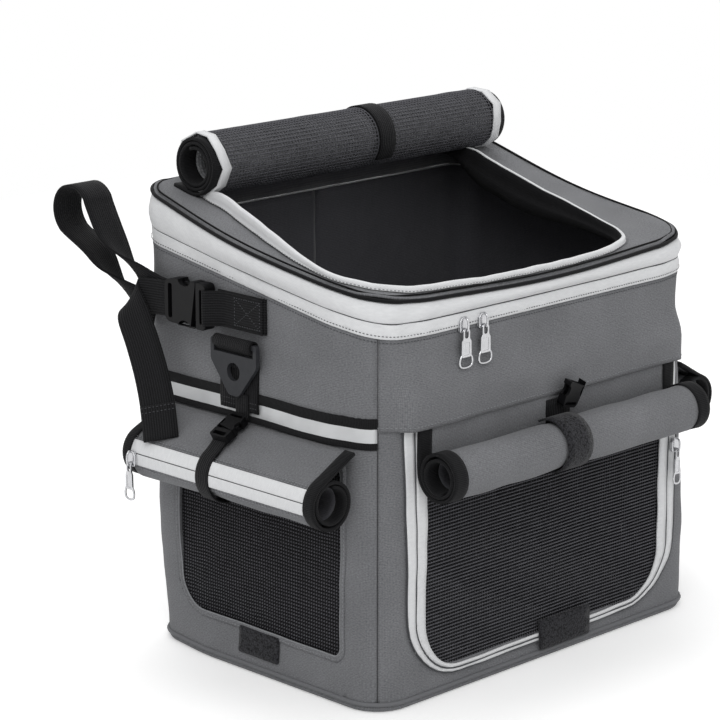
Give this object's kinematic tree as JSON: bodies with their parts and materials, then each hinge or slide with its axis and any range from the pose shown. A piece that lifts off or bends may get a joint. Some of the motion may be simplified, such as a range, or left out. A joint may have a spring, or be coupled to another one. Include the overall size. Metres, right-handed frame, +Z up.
{
  "type": "pet bicycle basket",
  "caption": "Soft grey fabric pet basket for a handlebar, with zipped lid, mesh door and windows, rolled covers and strap buckles.",
  "frame": {"origin": "middle of the underside of the base panel", "axes": "+X along the handlebar to the basket's right end, +Y from the front door to the back that faces the handlebar, +Z up"},
  "size_m": [0.4364, 0.3354, 0.375],
  "materials": {
    "grey_polyester": "heathered woven polyester",
    "black_webbing": "ribbed polypropylene webbing and grosgrain binding",
    "black_mesh": "open knitted mesh",
    "pale_tape": "light grey woven zip tape and binding",
    "silver_band": "silver reflective tape",
    "black_plastic": "moulded acetal, fine satin",
    "dark_grey_plastic": "moulded, satin",
    "nickel_plate": "bright nickel plating",
    "black_lining": "thin woven lining",
    "grey_fleece": "short-pile fleece"
  },
  "bodies": {
    "body": {"base_panel": "grey_polyester", "front_wall": "grey_polyester", "back_wall": "grey_polyester", "left_wall": "grey_polyester", "right_wall": "grey_polyester", "collar": "grey_polyester", "left_roll": "grey_polyester", "right_roll": "grey_polyester", "left_roll_binding": "black_webbing", "left_roll_strap": "black_webbing", "left_ring_webbing": "black_webbing", "left_strap_anchor": "black_webbing", "right_roll_binding": "black_webbing", "right_roll_strap": "black_webbing", "right_ring_webbing": "black_webbing", "right_strap_anchor": "black_webbing", "left_window_net": "black_mesh", "right_window_net": "black_mesh", "body_zip_tape": "pale_tape", "front_body_tape": "pale_tape", "left_reflective_band": "silver_band", "right_reflective_band": "silver_band", "left_clip_female": "black_plastic", "left_buckle_male": "black_plastic", "right_clip_female": "black_plastic", "right_buckle_male": "black_plastic", "lining": "black_lining"},
    "lid": {"lid_skirt": "pale_tape", "lid_panel": "grey_polyester", "lid_piping": "black_webbing", "opening_rim": "pale_tape", "top_roll": "black_mesh", "top_roll_binding": "pale_tape", "top_roll_tie": "black_webbing"},
    "front_door": {"front_valance": "grey_polyester", "front_door_net": "black_mesh", "front_door_tape": "pale_tape", "front_roll": "grey_polyester", "front_roll_binding": "black_webbing", "front_roll_strap": "black_webbing", "front_clip": "black_plastic"},
    "cushion": {"floor_cushion": "grey_fleece"},
    "left_buckle": {"left_buckle_female": "black_plastic", "left_handlebar_strap": "black_webbing"},
    "right_buckle": {"right_buckle_female": "black_plastic", "right_handlebar_strap": "black_webbing"},
    "top_slider_left": {"top_slider_left": "nickel_plate"},
    "top_slider_right": {"top_slider_right": "nickel_plate"},
    "top_puller_left": {"top_puller_left": "nickel_plate"},
    "top_puller_right": {"top_puller_right": "nickel_plate"},
    "front_zip_slider": {"front_zip_slider": "nickel_plate"},
    "front_zip_puller": {"front_zip_puller": "nickel_plate"},
    "left_pocket_slider": {"left_pocket_slider": "nickel_plate"},
    "left_pocket_puller": {"left_pocket_puller": "nickel_plate"},
    "left_d_ring": {"left_d_ring": "dark_grey_plastic"},
    "left_clip_male": {"left_clip_male": "black_plastic"},
    "right_pocket_slider": {"right_pocket_slider": "nickel_plate"},
    "right_pocket_puller": {"right_pocket_puller": "nickel_plate"},
    "right_d_ring": {"right_d_ring": "dark_grey_plastic"},
    "right_clip_male": {"right_clip_male": "black_plastic"}
  },
  "joints": [
    {"name": "lid_hinge", "type": "hinge", "parent": "body", "child": "lid", "pos_m": [0, 0.1203, 0.309], "axis": [-1, 0, 0], "range_deg": [0, 100]},
    {"name": "front_door_hinge", "type": "hinge", "parent": "body", "child": "front_door", "pos_m": [0, -0.1241, 0.2135], "axis": [-1, 0, 0], "range_deg": [0, 90]},
    {"name": "cushion_lift", "type": "slide", "parent": "body", "child": "cushion", "axis": [0, 0, 1], "range_m": [0, 0.15]},
    {"name": "top_slider_left_slide", "type": "slide", "parent": "body", "child": "top_slider_left", "axis": [-1, 0, 0], "range_m": [0, 0.045]},
    {"name": "top_puller_left_hinge", "type": "hinge", "parent": "top_slider_left", "child": "top_puller_left", "pos_m": [-0.09, -0.1245, 0.2598], "axis": [-1, 0, 0], "range_deg": [0, 150]},
    {"name": "top_slider_right_slide", "type": "slide", "parent": "body", "child": "top_slider_right", "axis": [1, 0, 0], "range_m": [0, 0.205]},
    {"name": "top_puller_right_hinge", "type": "hinge", "parent": "top_slider_right", "child": "top_puller_right", "pos_m": [-0.071, -0.1245, 0.2598], "axis": [-1, 0, 0], "range_deg": [0, 150]},
    {"name": "front_zip_slide", "type": "slide", "parent": "body", "child": "front_zip_slider", "axis": [0, 0, -1], "range_m": [0, 0.06]},
    {"name": "front_puller_hinge", "type": "hinge", "parent": "front_zip_slider", "child": "front_zip_puller", "pos_m": [0.139, -0.126, 0.1298], "axis": [-1, 0, 0], "range_deg": [0, 150]},
    {"name": "left_pocket_slide", "type": "slide", "parent": "body", "child": "left_pocket_slider", "axis": [0, -1, 0], "range_m": [0, 0.055]},
    {"name": "left_pocket_puller_hinge", "type": "hinge", "parent": "left_pocket_slider", "child": "left_pocket_puller", "pos_m": [-0.21575, 0.08, 0.1498], "axis": [0, 1, 0], "range_deg": [0, 150]},
    {"name": "left_d_ring_hinge", "type": "hinge", "parent": "body", "child": "left_d_ring", "pos_m": [-0.17635, 0.012, 0.2405], "axis": [0, 1, 0], "range_deg": [0, 110]},
    {"name": "left_clip_release", "type": "slide", "parent": "body", "child": "left_clip_male", "axis": [-0.8818, 0, -0.4717], "range_m": [0, 0.01]},
    {"name": "left_buckle_release", "type": "slide", "parent": "body", "child": "left_buckle", "axis": [0, 1, 0], "range_m": [0, 0.023]},
    {"name": "right_pocket_slide", "type": "slide", "parent": "body", "child": "right_pocket_slider", "axis": [0, -1, 0], "range_m": [0, 0.055]},
    {"name": "right_pocket_puller_hinge", "type": "hinge", "parent": "right_pocket_slider", "child": "right_pocket_puller", "pos_m": [0.21575, 0.08, 0.1498], "axis": [0, -1, 0], "range_deg": [0, 150]},
    {"name": "right_d_ring_hinge", "type": "hinge", "parent": "body", "child": "right_d_ring", "pos_m": [0.17635, 0.012, 0.2405], "axis": [0, -1, 0], "range_deg": [0, 110]},
    {"name": "right_clip_release", "type": "slide", "parent": "body", "child": "right_clip_male", "axis": [0.8818, 0, -0.4717], "range_m": [0, 0.01]},
    {"name": "right_buckle_release", "type": "slide", "parent": "body", "child": "right_buckle", "axis": [0, 1, 0], "range_m": [0, 0.023]}
  ]
}
